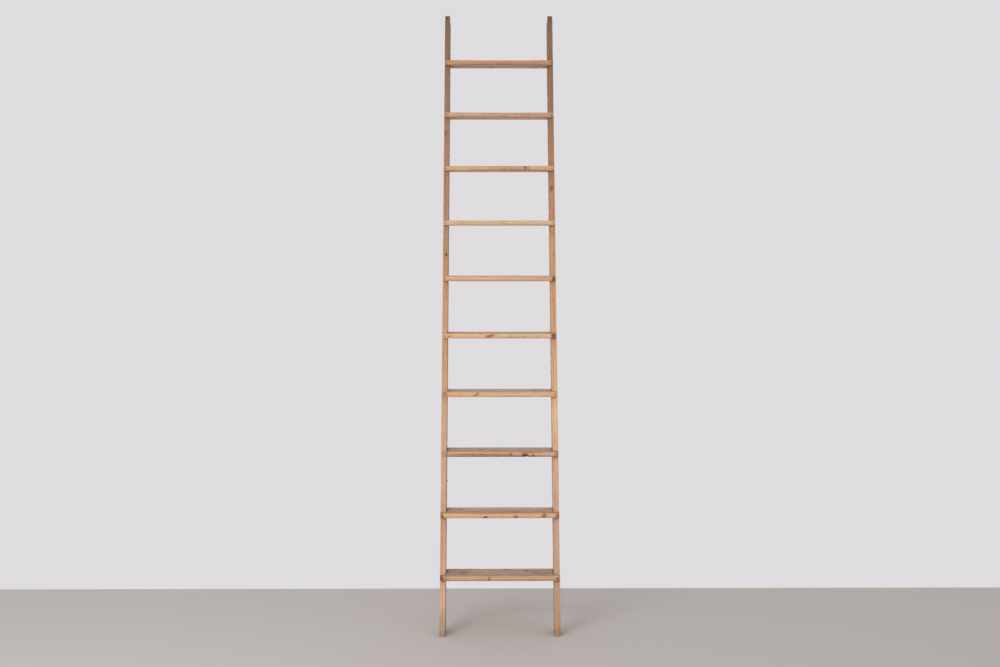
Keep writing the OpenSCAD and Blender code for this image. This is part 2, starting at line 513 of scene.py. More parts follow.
def worn_and_waxed(tree, shader, shade, height, seed, place):
    """Dirt in chips and hollows, then the surface: waxed once, long since dry and scuffed."""
    lost = add(tree, "ShaderNodeAttribute", {}, attribute_name="lost_wood")["Fac"]
    shade = tint(tree, shade, fade(tree, lost, 0.0014, 0.0034), (0.80, 0.73, 0.67, 1))
    sample = vector_calc(tree, "ADD", place, (seed * 0.7, seed * 1.9, seed * 0.3))
    scuff = clouds(tree, sample, (0.05, 0.02, 0.02), 4.0, 0.6)["Fac"]
    rough = calc(tree, "MULTIPLY_ADD", scuff, 0.45, 0.36)
    bump = add(tree, "ShaderNodeBump", {"Strength": 1.0, "Distance": 1.0, "Height": height})["Normal"]
    tree.links.new(shade, shader.inputs["Base Color"])
    tree.links.new(rough, shader.inputs["Roughness"])
    tree.links.new(bump, shader.inputs["Normal"])
    shader.inputs["Specular IOR Level"].default_value = 0.35


def new_finish(name):
    """An empty material, with its nodes and its shader."""
    material = bpy.data.materials.new(name)
    material.use_nodes = True
    tree = material.node_tree
    return material, tree, tree.nodes["Principled BSDF"]


def tones_along(tree, value, tones):
    """Colour ramp through the given (position, colour) pairs."""
    ramp = tree.nodes.new("ShaderNodeValToRGB")
    stops = ramp.color_ramp.elements
    while len(stops) < len(tones):
        stops.new(0.5)
    for stop, (position, tone) in zip(stops, tones):
        stop.position = position
        stop.color = colour(*tone)
    tree.links.new(value, ramp.inputs["Fac"])
    return ramp.outputs["Color"]


# From the foot up: a wet-stained foot, long honey-coloured middle, and an end darkened by hands
STILE_TONES = {
    -1: ((0.0, (162, 138, 114)), (0.022, (172, 149, 121)), (0.05, (206, 170, 142)),
         (0.17, (198, 158, 129)), (0.27, (198, 160, 129)), (0.36, (195, 152, 118)),
         (0.45, (198, 152, 116)), (0.54, (191, 145, 109)), (0.58, (179, 138, 100)),
         (0.63, (177, 138, 110)), (0.73, (168, 128, 103)), (0.82, (155, 117, 94)),
         (0.90, (146, 110, 88)), (0.97, (134, 99, 78)), (1.0, (122, 94, 77))),
    1: ((0.0, (176, 141, 113)), (0.05, (188, 151, 122)), (0.16, (202, 165, 137)),
        (0.27, (202, 162, 132)), (0.33, (222, 178, 134)), (0.39, (205, 165, 133)),
        (0.46, (202, 158, 118)), (0.54, (200, 154, 115)), (0.60, (192, 148, 110)),
        (0.66, (182, 132, 96)), (0.73, (170, 124, 92)), (0.80, (158, 119, 90)),
        (0.90, (150, 114, 87)), (0.97, (140, 106, 83)), (1.0, (128, 99, 82)))}
# Egg-shaped knots: middle along, through the depth and across, then radii, then turn
STILE_RED_KNOTS = {
    -1: (((2.455, 0.008, 0.006), (0.010, 0.012, 0.008), 10), ((0.62, 0.060, 0.0), (0.011, 0.009, 0.03), 0),
         ((1.30, 0.030, 0.0), (0.008, 0.006, 0.03), 0), ((2.05, 0.075, 0.0), (0.013, 0.010, 0.03), 0)),
    1: (((0.95, 0.070, 0.0), (0.012, 0.010, 0.03), 0), ((1.52, 0.035, 0.0), (0.010, 0.008, 0.03), 0),
        ((2.62, 0.050, 0.0), (0.012, 0.009, 0.03), 0), ((2.16, 0.004, 0.004), (0.012, 0.010, 0.006), 20))}
STILE_DARK_KNOTS = {
    -1: (((1.815, 0.004, -0.004), (0.007, 0.010, 0.006), 0), ((0.21, 0.085, 0.0), (0.008, 0.007, 0.03), 0),
         ((2.72, 0.040, 0.0), (0.007, 0.006, 0.03), 0)),
    1: (((0.36, 0.045, 0.0), (0.009, 0.007, 0.03), 0), ((1.90, 0.080, 0.0), (0.009, 0.008, 0.03), 0))}
TREAD_PITCH = 0.275
# Where an ear has broken off, the stile's front is darker at the ear's height: on the left, where the ears
# are gone, as their print, and on the right, beside the stumps, darker still
EAR_PATCH = {-1: (0.84, 0.80, 0.78), 1: (0.66, 0.59, 0.57)}


def stile_finish(side, side_name):
    """Pine for a stile, with grime and painted shade around the treads, and grime around the nails."""
    material, tree, shader = new_finish("old_pine_stile_" + side_name)
    along = Vector((0, math.sin(LEAN), math.cos(LEAN)))
    deep = Vector((0, math.cos(LEAN), -math.sin(LEAN)))
    turn = Matrix((along, deep, along.cross(deep))).transposed().to_euler()
    place = board_place(tree, (side * STILE_X, cad_low.y, 0), turn)
    parts = add(tree, "ShaderNodeSeparateXYZ", {"Vector": place})
    drift = clouds(tree, place, (0.12, 0.03, 0.03), 2.0)["Fac"]
    up = calc(tree, "MULTIPLY_ADD", calc(tree, "SUBTRACT", drift, 0.5), 0.16, parts["X"])
    base = tones_along(tree, calc(tree, "DIVIDE", up, STILE_LENGTH), STILE_TONES[side])
    pith = (0.030, 0.055) if side < 0 else (0.085, 0.048)
    seed = 2.0 if side < 0 else 7.0
    shade, height = pine(
        tree, place, base, seed, pith, STILE_RED_KNOTS[side], STILE_DARK_KNOTS[side])

    # Inner and outer faces have greyed more than the front, which hands and feet have rubbed
    facing = add(tree, "ShaderNodeTexCoord", {})["Normal"]
    sideways = add(tree, "ShaderNodeSeparateXYZ", {"Vector": facing})["X"]
    inner = fade(tree, calc(tree, "MULTIPLY", sideways, -side), 0.6, 0.95)
    outer = fade(tree, calc(tree, "MULTIPLY", sideways, side), 0.6, 0.95)
    shade = tint(tree, shade, inner, (0.84, 0.88, 0.98, 1))
    shade = tint(tree, shade, calc(tree, "MULTIPLY", outer, 0.8), (0.92, 0.90, 0.90, 1))

    # Grime on the inner face over and under each tread, with painted shade in these corners where the treads
    # meet the stile
    world = add(tree, "ShaderNodeSeparateXYZ", {"Vector": add(tree, "ShaderNodeTexCoord", {})["Object"]})
    slope = math.tan(TREAD_TILT)
    first = at_tread(1).translation
    steps = calc(tree, "MULTIPLY_ADD", world["Y"], -slope, world["Z"])
    steps = calc(tree, "SUBTRACT", steps, first.z - first.y * slope)
    steps = calc(tree, "DIVIDE", steps, TREAD_PITCH * (1 - slope * math.tan(LEAN)))
    above = calc(tree, "MULTIPLY", calc(tree, "FRACT", steps), TREAD_PITCH)
    over = fade(tree, above, TREAD_THICKNESS + 0.012, TREAD_THICKNESS)
    under = fade(tree, above, TREAD_PITCH - 0.006, TREAD_PITCH)
    tread_grime_and_shade = calc(tree, "MULTIPLY", calc(tree, "MAXIMUM", over, under), inner)
    shade = tint(tree, shade, calc(tree, "MULTIPLY", tread_grime_and_shade, 0.75), (0.52, 0.43, 0.37, 1))
    # Iron has bled into the wood around the side nails
    for y in SIDE_NAIL_Y:
        # All the treads' nails lie equally deep in the stile, so the lowest tread's give their place
        nail = side_nail_place(1, side, y).translation
        deep_in = (nail - Vector((0, cad_low.y, 0))).dot(deep)
        from_nail = add(tree, "ShaderNodeCombineXYZ", {
            "X": calc(tree, "MULTIPLY", calc(tree, "SUBTRACT", above, TREAD_THICKNESS / 2), 0.45),
            "Y": calc(tree, "SUBTRACT", parts["Y"], deep_in)})["Vector"]
        bled = fade(tree, vector_calc(tree, "LENGTH", from_nail), 0.0075, 0.0025)
        bled = calc(tree, "MULTIPLY", calc(tree, "MULTIPLY", bled, outer), 0.7)
        shade = tint(tree, shade, bled, (0.34, 0.31, 0.32, 1))
    stains_and_shade = []
    for n in BARE_NAIL_HOLES[side]:
        ear = at_tread(n).translation.z / math.cos(LEAN) + 0.012
        stains_and_shade.append((((ear, 0.0, 0.0), (0.019, 0.010, 0.024), 0), EAR_PATCH[side]))
    stains_and_shade.append((((STILE_LENGTH, 0.05, 0.0), (0.040, 0.09, 0.03), 0), (0.78, 0.76, 0.76)))
    stains_and_shade.append((((0.0, 0.05, 0.0), (0.035, 0.09, 0.03), 0), (0.86, 0.84, 0.76)))
    shade = stained_and_shaded(tree, shade, place, stains_and_shade)
    worn_and_waxed(tree, shader, shade, height, seed, place)
    return material


for side, side_name in ((-1, "left"), (1, "right")):
    stiles[side].data.materials.clear()
    stiles[side].data.materials.append(stile_finish(side, side_name))


# The treads: flat pine boards whose ends slide into the stiles' housings. In front each one runs on
# past the stiles as an ear on both sides, where a nail holds it. Two left ears have broken off and
# two right ones are stumps. Feet have hollowed the front edges and greyed the tops.
# How far each ear stops short of its stile's outer face, lowest tread first, or None where it is gone
EARS_SHORT = {
    -1: (0.0010, 0.0004, None, None, 0.006, 0.009, 0.003, 0.007, 0.003, 0.005),
    1: (0.0004, 0.0004, 0.0004, 0.0004, 0.022, 0.018, 0.005, 0.005, 0.005, 0.007)}
NAILED_EAR = STILE_THICKNESS / 2 + 0.003
BACK_EDGE_ROUND = 0.002
# An ear nail's recess is drilled this much deeper than its head lies
RECESS_SHIFT = 0.0002
# Bites out of a tread's front edges: place, reach and depth
CHIPS = {
    1: (((-0.271, 0.0, 0.008), 0.010, 0.003),),
    3: (((0.127, 0.0, 0.0), 0.009, 0.006), ((-0.249, 0.004, 0.020), 0.012, 0.004)),
    4: (((-0.249, 0.004, 0.006), 0.012, 0.004), ((0.060, 0.0, 0.025), 0.007, 0.002)),
    5: (((0.254, 0.004, 0.016), 0.010, 0.003),),
    6: (((0.258, 0.002, 0.004), 0.010, 0.004),),
    7: (((-0.020, 0.0, 0.0), 0.008, 0.003),),
    9: (((0.086, 0.0, 0.025), 0.008, 0.004), ((0.118, 0.0, 0.025), 0.007, 0.0035)),
    10: (((-0.150, 0.0, 0.0), 0.008, 0.003),)}


def sawn_tread(n):
    """The board in its own frame: the part between the stiles, its housed ends and its ears."""
    bpy.ops.mesh.primitive_cube_add(
        size=1,
        location=(0, TREAD_DEPTH / 2, TREAD_THICKNESS / 2),
        scale=(2 * INNER_X, TREAD_DEPTH - 2 * SKIN, TREAD_THICKNESS - 2 * SKIN))
    board = bpy.context.object
    make_active(board)
    bpy.ops.object.transform_apply(location=True, rotation=True, scale=True)
    bpy.ops.object.mode_set(mode="EDIT")
    # The stiles' front face crosses the board at this slope, and parts the ears from the ends
    slope = LEAN + TREAD_TILT
    front_at = Vector((0, NOSING / math.cos(TREAD_TILT), 0))
    front_normal = Vector((0, math.cos(slope), -math.sin(slope)))
    bpy.ops.mesh.select_all(action="SELECT")
    bpy.ops.mesh.bisect(plane_co=front_at - Vector((0, SKIN, 0)), plane_no=front_normal)
    for side in (-1, 1):
        short = EARS_SHORT[side][n - 1]
        pick_faces(board, lambda middle, normal:
                   normal.x * side > 0.9 and (middle - front_at).dot(front_normal) > 0)
        bpy.ops.mesh.extrude_region_move(
            TRANSFORM_OT_translate={"value": (side * (HOUSING - SKIN), 0, 0)})
        if short is not None:
            pick_faces(board, lambda middle, normal:
                       normal.x * side > 0.9 and (middle - front_at).dot(front_normal) < 0)
            bpy.ops.mesh.extrude_region_move(
                TRANSFORM_OT_translate={"value": (side * (STILE_THICKNESS - short), 0, 0)})
    # Rounded front edges and eased back edges
    pick_edges(board, lambda a, b: runs_along(a, b, 0, 0.002) and max(a.y, b.y) < 0.001)
    bpy.ops.mesh.bevel(offset=NOSING_ROUND, segments=4, affect="EDGES")
    pick_edges(board, lambda a, b: runs_along(a, b, 0, 0.002) and min(a.y, b.y) > TREAD_DEPTH - 0.001)
    bpy.ops.mesh.bevel(offset=BACK_EDGE_ROUND, segments=2, affect="EDGES")
    cut_edges(board, axis=0, longer_than=0.3, cuts=13)
    cut_edges(board, axis=0, longer_than=0.02, cuts=13)
    cut_edges(board, axis=0, longer_than=0.005, cuts=1)
    cut_edges(board, axis=1, longer_than=0.08, cuts=34)
    cut_edges(board, axis=1, longer_than=0.01, cuts=7)
    cut_edges(board, axis=2, longer_than=0.01, cuts=5)
    bpy.ops.object.mode_set(mode="OBJECT")
    return board


def long_edge_weight(point):
    """1 on the tread's four long edges, falling to 0 some way in from them."""
    from_front = max(min(point.y, TREAD_DEPTH - point.y), 0)
    from_top = max(min(point.z, TREAD_THICKNESS - point.z), 0)
    return EDGE_WEAR_PEAK - math.hypot(from_front, from_top) / EDGE_WEAR_REACH


def trodden_weight(point):
    """1 on the top face at the middle of the front edge, where feet have worn it most."""
    if point.z < TREAD_THICKNESS * 0.6:
        return 0
    return (1 - (point.x / 0.24) ** 2) * (1 - point.y / 0.085)


def ear_end_weight(point):
    return (abs(point.x) - INNER_X - 0.008) / 0.014


def takes_nail(short):
    """True where an ear is still there and reaches past the nail's place."""
    return short is not None and STILE_THICKNESS - short >= NAILED_EAR


def cuts_in_tread(n):
    """Recesses for the ear nails' heads, and the split in the lowest tread's left ear."""
    cutters = []
    for side in (-1, 1):
        if takes_nail(EARS_SHORT[side][n - 1]):
            recess = ear_nail_place(n, side) @ Matrix.Translation((0, 0, -RECESS_SHIFT))
            cutters.append(cutting_drill(recess, EAR_NAIL_RADIUS + NAIL_ROOM, EAR_NAIL_RECESS))
    if n == 1:
        for low, high in (
                ((-0.30, -0.01, 0.0085), (-0.259, 0.016, 0.0094)),
                ((-0.30, -0.01, 0.0160), (-0.266, 0.010, 0.0166))):
            cutters.append(cutting_block(at_tread(n), low, high))
    return cutters


treads = {}
for n in range(1, TREAD_COUNT + 1):
    board = sawn_tread(n)
    weight_points(board, "long_edges", long_edge_weight)
    weight_points(board, "trodden", trodden_weight)
    weight_points(board, "ear_ends", ear_end_weight)
    for number, (spot, reach, deep) in enumerate(CHIPS.get(n, ())):
        middle = Vector(spot)
        weight_points(board, "chip_%d" % number, lambda point: 1.3 - (point - middle).length / reach)
    put(board, at_tread(n))
    sawn = points_of(board)
    wear(board, "sawn_face", 0.40, 0.0005)
    wear(board, "planed_face", 0.025, 0.00012)
    wear(board, "trodden_front", 0.16, 0.0016, contrast=0.8, group="trodden")
    wear(board, "rubbed_edges", 0.13, 0.0008, group="long_edges")
    wear(board, "chipped_edges", 0.018, 0.0024, contrast=5.0, level=2.36, group="long_edges")
    wear(board, "knocked_ears", 0.010, 0.0022, group="ear_ends")
    for number, (spot, reach, deep) in enumerate(CHIPS.get(n, ())):
        wear(board, "bite", 0.006, deep, contrast=0.7, level=0.65, group="chip_%d" % number)
    note_lost_wood(board, sawn)
    cutters = cuts_in_tread(n)
    if cutters:
        cut_away(board, cutters)
    finish_shape(board, "tread_board_%02d" % n)
    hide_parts(tread_node(n))
    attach(board, "root")
    treads[n] = board


# Each tread's own look. A tone is the clean wood's colour on the front edge, and knots, stains and painted
# shade are spots with a middle, radii and turn, in metres from the middle of the tread's front lower edge.
DARK_EARS = (
    (((-0.272, 0.0, 0.012), (0.012, 0.035, 0.022), 0), (0.50, 0.42, 0.43)),
    (((0.272, 0.0, 0.012), (0.012, 0.035, 0.022), 0), (0.52, 0.43, 0.42)))
TREAD_LOOKS = {
    1: {"tone": (199, 162, 130), "pith": (0.080, -0.050),
        "dark": (((0.120, 0.095, 0.0), (0.010, 0.008, 0.05), 0),),
        "red": (((-0.049, 0.0, 0.012), (0.0045, 0.020, 0.0060), 0),
                ((-0.170, 0.060, 0.0), (0.013, 0.009, 0.05), 0),
                ((0.035, 0.110, 0.0), (0.009, 0.007, 0.05), 0)),
        "stains_and_shade": (DARK_EARS[0],
                   (((-0.258, 0.0, 0.012), (0.026, 0.035, 0.020), 0), (0.84, 0.75, 0.74)),
                   (((0.268, 0.0, 0.008), (0.014, 0.030, 0.014), 0), (0.86, 0.74, 0.70)),
                   (((-0.200, 0.030, 0.025), (0.070, 0.006, 0.010), 0), (0.78, 0.66, 0.60)),
                   (((-0.190, 0.062, 0.025), (0.060, 0.007, 0.010), 0), (0.76, 0.66, 0.62)),
                   (((-0.180, 0.100, 0.025), (0.075, 0.008, 0.010), 0), (0.78, 0.68, 0.64)),
                   (((0.195, 0.045, 0.025), (0.045, 0.022, 0.010), 0), (0.80, 0.73, 0.73)),
                   (((0.170, 0.085, 0.025), (0.090, 0.008, 0.010), 0), (0.76, 0.68, 0.65)),
                   (((0.130, 0.022, 0.025), (0.110, 0.006, 0.010), 0), (0.78, 0.70, 0.66)),
                   (((0.0, 0.0, 0.0), (0.300, 0.012, 0.011), 0), (0.88, 0.82, 0.80)))},
    2: {"tone": (219, 173, 135), "pith": (0.050, 0.110),
        "dark": (((-0.066, 0.0, 0.005), (0.0100, 0.020, 0.0050), 0),),
        "red": (((0.074, 0.0, 0.008), (0.0080, 0.025, 0.0060), 0),
                ((0.205, 0.0, 0.012), (0.0100, 0.025, 0.0080), 0),
                ((-0.180, 0.090, 0.0), (0.012, 0.009, 0.05), 0)),
        "stains_and_shade": (*DARK_EARS,
                   (((0.0, 0.020, 0.027), (0.300, 0.055, 0.006), 0), (0.82, 0.79, 0.76)),
                   # The strips along the lower edge of both ears are painted shadow under the ears
                   (((-0.262, 0.0, 0.0), (0.020, 0.02, 0.004), 0), (0.60, 0.52, 0.50)),
                   (((0.262, 0.0, 0.0), (0.020, 0.02, 0.004), 0), (0.60, 0.52, 0.50)))},
    3: {"tone": (206, 166, 136), "pith": (0.095, -0.075),
        "dark": (((0.118, 0.0, 0.0085), (0.0140, 0.030, 0.0090), 0),
                 ((0.157, 0.0, 0.008), (0.0045, 0.012, 0.0045), 0)),
        "red": (((0.052, 0.0, 0.014), (0.0060, 0.020, 0.0050), 20),
                ((-0.090, 0.075, 0.0), (0.011, 0.008, 0.05), 0)),
        "stains_and_shade": ((((-0.110, 0.0, 0.0130), (0.190, 0.008, 0.0040), 0), (0.54, 0.45, 0.42)),
                   (((0.0, 0.0, 0.0), (0.320, 0.016, 0.0130), 0), (0.74, 0.69, 0.67)),
                   (((0.0, 0.0, -0.001), (0.300, 0.016, 0.0065), 0), (0.62, 0.55, 0.53)),
                   (((0.150, 0.0, 0.020), (0.060, 0.010, 0.0035), 0), (0.70, 0.61, 0.57)),
                   (((0.274, 0.0, 0.012), (0.007, 0.030, 0.020), 0), (0.52, 0.46, 0.44)),
                   (((-0.250, 0.0, 0.012), (0.006, 0.030, 0.020), 0), (0.58, 0.50, 0.48)))},
    4: {"tone": (214, 173, 137), "pith": (0.030, -0.120),
        "dark": (((0.170, 0.080, 0.0), (0.008, 0.006, 0.05), 0),),
        "red": (((-0.111, 0.0, 0.012), (0.0130, 0.030, 0.0035), -35),
                ((0.020, 0.100, 0.0), (0.010, 0.008, 0.05), 0)),
        "stains_and_shade": ((((-0.210, 0.0, 0.012), (0.045, 0.030, 0.030), 0), (1.0, 0.93, 0.93)),
                   (((0.10, 0.0, 0.0), (0.180, 0.012, 0.0045), 0), (0.86, 0.80, 0.78)))},
    5: {"tone": (215, 175, 142), "pith": (0.075, 0.095),
        "dark": (),
        "red": (((-0.046, 0.0, 0.012), (0.0190, 0.030, 0.0055), -12),
                ((-0.239, 0.0, 0.012), (0.0090, 0.015, 0.0025), -8),
                ((0.110, 0.080, 0.0), (0.012, 0.009, 0.05), 0)),
        "stains_and_shade": ((((-0.130, 0.0, 0.012), (0.130, 0.030, 0.030), 0), (1.02, 1.0, 0.90)),
                   (((0.251, 0.0, 0.010), (0.006, 0.030, 0.020), 0), (0.66, 0.57, 0.55)))},
    6: {"tone": (212, 170, 138), "pith": (0.060, -0.065),
        "dark": (((-0.200, 0.070, 0.0), (0.007, 0.006, 0.05), 0),),
        "red": (((0.060, 0.060, 0.0), (0.010, 0.008, 0.05), 0),),
        # The first spot, along the lower edge of the left ear, is painted shadow under the ear
        "stains_and_shade": ((((-0.258, 0.0, 0.0), (0.016, 0.02, 0.004), 0), (0.55, 0.47, 0.45)),
                   (((0.0, 0.0, 0.004), (0.300, 0.010, 0.005), 0), (0.92, 0.88, 0.85)))},
    7: {"tone": (209, 172, 142), "pith": (0.110, -0.050),
        "dark": (),
        "red": (((0.150, 0.030, 0.0), (0.011, 0.009, 0.05), 0),
                ((-0.120, 0.100, 0.0), (0.009, 0.007, 0.05), 0)),
        "stains_and_shade": ((((0.060, 0.0, 0.012), (0.060, 0.030, 0.030), 0), (1.0, 0.99, 0.90)),
                   (((-0.160, 0.0, 0.012), (0.050, 0.030, 0.030), 0), (1.0, 0.98, 0.91)))},
    8: {"tone": (200, 160, 127), "pith": (0.040, 0.080),
        "dark": (((-0.140, 0.085, 0.0), (0.009, 0.007, 0.05), 0),),
        "red": (((0.130, 0.0, 0.017), (0.0075, 0.025, 0.0050), 0),),
        "stains_and_shade": ((((-0.180, 0.0, 0.023), (0.070, 0.010, 0.003), 0), (1.14, 1.14, 1.14)),
                   (((0.060, 0.0, 0.004), (0.200, 0.012, 0.006), 0), (0.86, 0.80, 0.78)))},
    9: {"tone": (195, 156, 125), "pith": (0.090, -0.095),
        "dark": (((0.080, 0.070, 0.0), (0.009, 0.007, 0.05), 0),),
        "red": (((-0.070, 0.050, 0.0), (0.011, 0.008, 0.05), 0),),
        "stains_and_shade": ((((0.086, 0.0, 0.025), (0.008, 0.008, 0.005), 0), (0.40, 0.32, 0.30)),
                   (((0.118, 0.0, 0.025), (0.007, 0.008, 0.005), 0), (0.42, 0.34, 0.32)))},
    10: {"tone": (184, 141, 109), "pith": (0.055, -0.060),
         "dark": (((0.190, 0.090, 0.0), (0.007, 0.006, 0.05), 0),),
         "red": (((-0.040, 0.080, 0.0), (0.012, 0.009, 0.05), 0),),
         "stains_and_shade": ((((-0.235, 0.0, 0.004), (0.040, 0.010, 0.008), 0), (1.14, 1.14, 1.12)),
                    (((0.0, 0.0, 0.0), (0.300, 0.010, 0.006), 0), (0.88, 0.84, 0.84)))}}
# Saw marks across the front edge: from and to along X, lowest and highest Z, spacing, colour
SAW_MARKS = {
    5: ((0.026, 0.147), (-0.002, 0.012), 0.0085, (0.62, 0.52, 0.48)),
    8: ((-0.060, 0.154), (0.001, 0.030), 0.0095, (0.46, 0.35, 0.31))}


def saw_marks(tree, shade, place, parts, marks):
    """Upright lines that a coarse saw left across a front edge."""
    (start, end), (low, high), spacing, over = marks
    waver = clouds(tree, place, (0.012, 0.02, 0.012), 2.0)["Fac"]
    line = calc(tree, "MULTIPLY_ADD", waver, 0.006, parts["X"])
    strokes = calc(tree, "DIVIDE", line, spacing)
    each_stroke = add(
        tree, "ShaderNodeTexWhiteNoise", {"W": calc(tree, "FLOOR", strokes)},
        noise_dimensions="1D")["Value"]
    line = fade(tree, calc(tree, "PINGPONG", strokes, 0.5), 0.20, 0.42)
    line = calc(tree, "MULTIPLY", line, calc(tree, "MULTIPLY_ADD", each_stroke, 0.75, 0.25))
    along = calc(tree, "MULTIPLY", fade(tree, parts["X"], start - 0.01, start + 0.01),
                 fade(tree, parts["X"], end + 0.01, end - 0.01))
    up = calc(tree, "MULTIPLY", fade(tree, parts["Z"], low - 0.002, low + 0.002),
              fade(tree, parts["Z"], high + 0.002, high - 0.002))
    shown = calc(tree, "MULTIPLY", calc(tree, "MULTIPLY", along, up), fade(tree, parts["Y"], 0.005, 0.001))
    return tint(tree, shade, calc(tree, "MULTIPLY", line, shown), (*over, 1))


def tread_finish(n):
    """Pine for a tread: greyed and scratched on top, cleaner below, grimy and painted darker as shade where
    it meets a stile.
    """
    look = TREAD_LOOKS[n]
    material, tree, shader = new_finish("old_pine_tread_%02d" % n)
    origin = at_tread(n).translation
    place = board_place(tree, origin, (TREAD_TILT, 0, 0))
    parts = add(tree, "ShaderNodeSeparateXYZ", {"Vector": place})
    seed = 11.0 + 3.0 * n
    shade, height = pine(
        tree, place, colour(*look["tone"]), seed, look["pith"], look["red"], look["dark"])
    if n in SAW_MARKS:
        shade = saw_marks(tree, shade, place, parts, SAW_MARKS[n])

    facing = add(tree, "ShaderNodeTexCoord", {})["Normal"]
    upward = add(tree, "ShaderNodeSeparateXYZ", {"Vector": facing})["Z"]
    top = fade(tree, upward, 0.55, 0.97)
    shade = tint(tree, shade, top, (0.71, 0.79, 0.86, 1))
    # Under the tread above, dust has greyed the back of the top and feet have cleaned the front
    dusty = calc(tree, "MULTIPLY", fade(tree, parts["Y"], 0.02, 0.12), top)
    shade = tint(tree, shade, dusty, (1.05, 1.19, 1.33, 1))
    shade = tint(tree, shade, fade(tree, upward, -0.6, -0.97), (1.05, 1.07, 1.12, 1))
    # The lower half of the front edge is painted darker than its upper half
    front = fade(tree, parts["Y"], 0.006, 0.002)
    shade = tint(tree, shade, calc(tree, "MULTIPLY", front, fade(tree, parts["Z"], 0.013, 0.002)),
                 (0.88, 0.85, 0.83, 1))
    # Scratches and a dirty bloom on top, lighter at the front where feet have polished it
    sample = vector_calc(tree, "ADD", place, (seed, 0, 0))
    slanted = add(tree, "ShaderNodeMapping", {"Vector": sample, "Rotation": (0, 0, 0.6)})["Vector"]
    scratch = clouds(tree, slanted, (0.030, 0.0010, 0.02), 1.0)["Fac"]
    scratch = calc(tree, "MULTIPLY", fade(tree, scratch, 0.70, 0.76), top)
    shade = tint(tree, shade, calc(tree, "MULTIPLY", scratch, 0.7), (1.25, 1.22, 1.20, 1))
    height = calc(tree, "MULTIPLY_ADD", scratch, -0.00015, height)
    bloom = clouds(tree, sample, (0.060, 0.035, 0.035), 5.0, 0.65)["Fac"]
    bloom = calc(tree, "MULTIPLY", fade(tree, bloom, 0.46, 0.70), top)
    shade = tint(tree, shade, bloom, (0.78, 0.75, 0.72, 1))

    # Grime and painted shade where the board enters the stiles, and end grain that has drunk in dirt
    sideways = calc(tree, "ABSOLUTE", parts["X"])
    joint_grime_and_shade = calc(tree, "MULTIPLY", fade(tree, sideways, INNER_X - 0.009, INNER_X),
                 fade(tree, sideways, INNER_X + 0.004, INNER_X))
    joint_grime_and_shade = calc(tree, "MULTIPLY", joint_grime_and_shade, fade(tree, parts["Y"], 0.006, NOSING))
    shade = tint(tree, shade, calc(tree, "MULTIPLY", joint_grime_and_shade, 0.72), (0.48, 0.39, 0.34, 1))
    end = calc(tree, "ABSOLUTE", add(tree, "ShaderNodeSeparateXYZ", {"Vector": facing})["X"])
    shade = tint(tree, shade, calc(tree, "MULTIPLY", fade(tree, end, 0.6, 0.95), 0.85), (0.66, 0.56, 0.49, 1))
    shade = stained_and_shaded(tree, shade, place, look["stains_and_shade"])
    # Iron has bled along the grain around the ear nails
    for side in (-1, 1):
        from_nail = reach_from(
            tree, place, ((side * STILE_X, 0.0, TREAD_THICKNESS / 2), (0.0085, 0.012, 0.0048), 0))
        shade = tint(tree, shade, calc(tree, "MULTIPLY", fade(tree, from_nail, 1.2, 0.4), 0.5),
                     (0.36, 0.32, 0.33, 1))
    worn_and_waxed(tree, shader, shade, height, seed, place)
    return material


for n, board in treads.items():
    board.data.materials.clear()
    board.data.materials.append(tread_finish(n))


# The nails: cut and wire nails of plain iron, hammered through the ears and through the stiles'
# outer faces into the treads' ends, with one old nail left sticking out of the left stile.
NAIL_LENGTH = 0.045
HEAD_THICKNESS = 0.0012
OLD_NAIL_LENGTH = 0.025
POINT_LENGTH = 0.004


def hammered_nail(head_radius, length):
    """Nail along Z with the top of its head at the origin: a dented head, a shank and a point."""
    bpy.ops.mesh.primitive_cylinder_add(
        vertices=18, radius=head_radius, depth=HEAD_THICKNESS, location=(0, 0, -HEAD_THICKNESS / 2))
    nail = bpy.context.object
    make_active(nail)
    bpy.ops.object.transform_apply(location=True, rotation=True, scale=True)
    bpy.ops.object.mode_set(mode="EDIT")
    pick_faces(nail, lambda middle, normal: normal.z < -0.9)
    bpy.ops.mesh.inset(thickness=head_radius - SHANK_RADIUS)
    bpy.ops.mesh.extrude_region_move(
        TRANSFORM_OT_translate={"value": (0, 0, HEAD_THICKNESS + POINT_LENGTH - length)})
    bpy.ops.mesh.extrude_region_move(TRANSFORM_OT_translate={"value": (0, 0, -0.0038)})
    bpy.ops.transform.resize(value=(0.2, 0.2, 1))
    pick_faces(nail, lambda middle, normal: normal.z > 0.9)
    bpy.ops.mesh.bevel(offset=0.00035, segments=3, affect="EDGES")
    pick_faces(nail, lambda middle, normal: normal.z > 0.9)
    for step in range(3):
        bpy.ops.mesh.inset(thickness=head_radius * 0.22)
    bpy.ops.object.mode_set(mode="OBJECT")
    return nail


def rusted_iron():
    """Dark iron under patches of brown rust, pitted all over."""
    material, tree, shader = new_finish("rusted_iron")
    place = add(tree, "ShaderNodeTexCoord", {})["Object"]
    rust = clouds(tree, place, (0.0022, 0.0022, 0.0022), 5.0, 0.65)["Fac"]
    pitted = clouds(tree, place, (0.0007, 0.0007, 0.0007), 3.0, 0.6)["Fac"]
    shade = tint(
        tree, (0.060, 0.052, 0.048, 1), fade(tree, rust, 0.42, 0.62), (0.150, 0.066, 0.034, 1), "MIX")
    shade = tint(tree, shade, fade(tree, pitted, 0.55, 0.70), (0.55, 0.50, 0.48, 1))
    tree.links.new(shade, shader.inputs["Base Color"])
    tree.links.new(fade(tree, rust, 0.65, 0.35), shader.inputs["Metallic"])
    tree.links.new(calc(tree, "MULTIPLY_ADD", rust, 0.7, 0.2), shader.inputs["Roughness"])
    height = calc(tree, "MULTIPLY", pitted, 0.0002)
    bump = add(tree, "ShaderNodeBump", {"Strength": 1.0, "Distance": 1.0, "Height": height})["Normal"]
    tree.links.new(bump, shader.inputs["Normal"])
    return material


iron = rusted_iron()


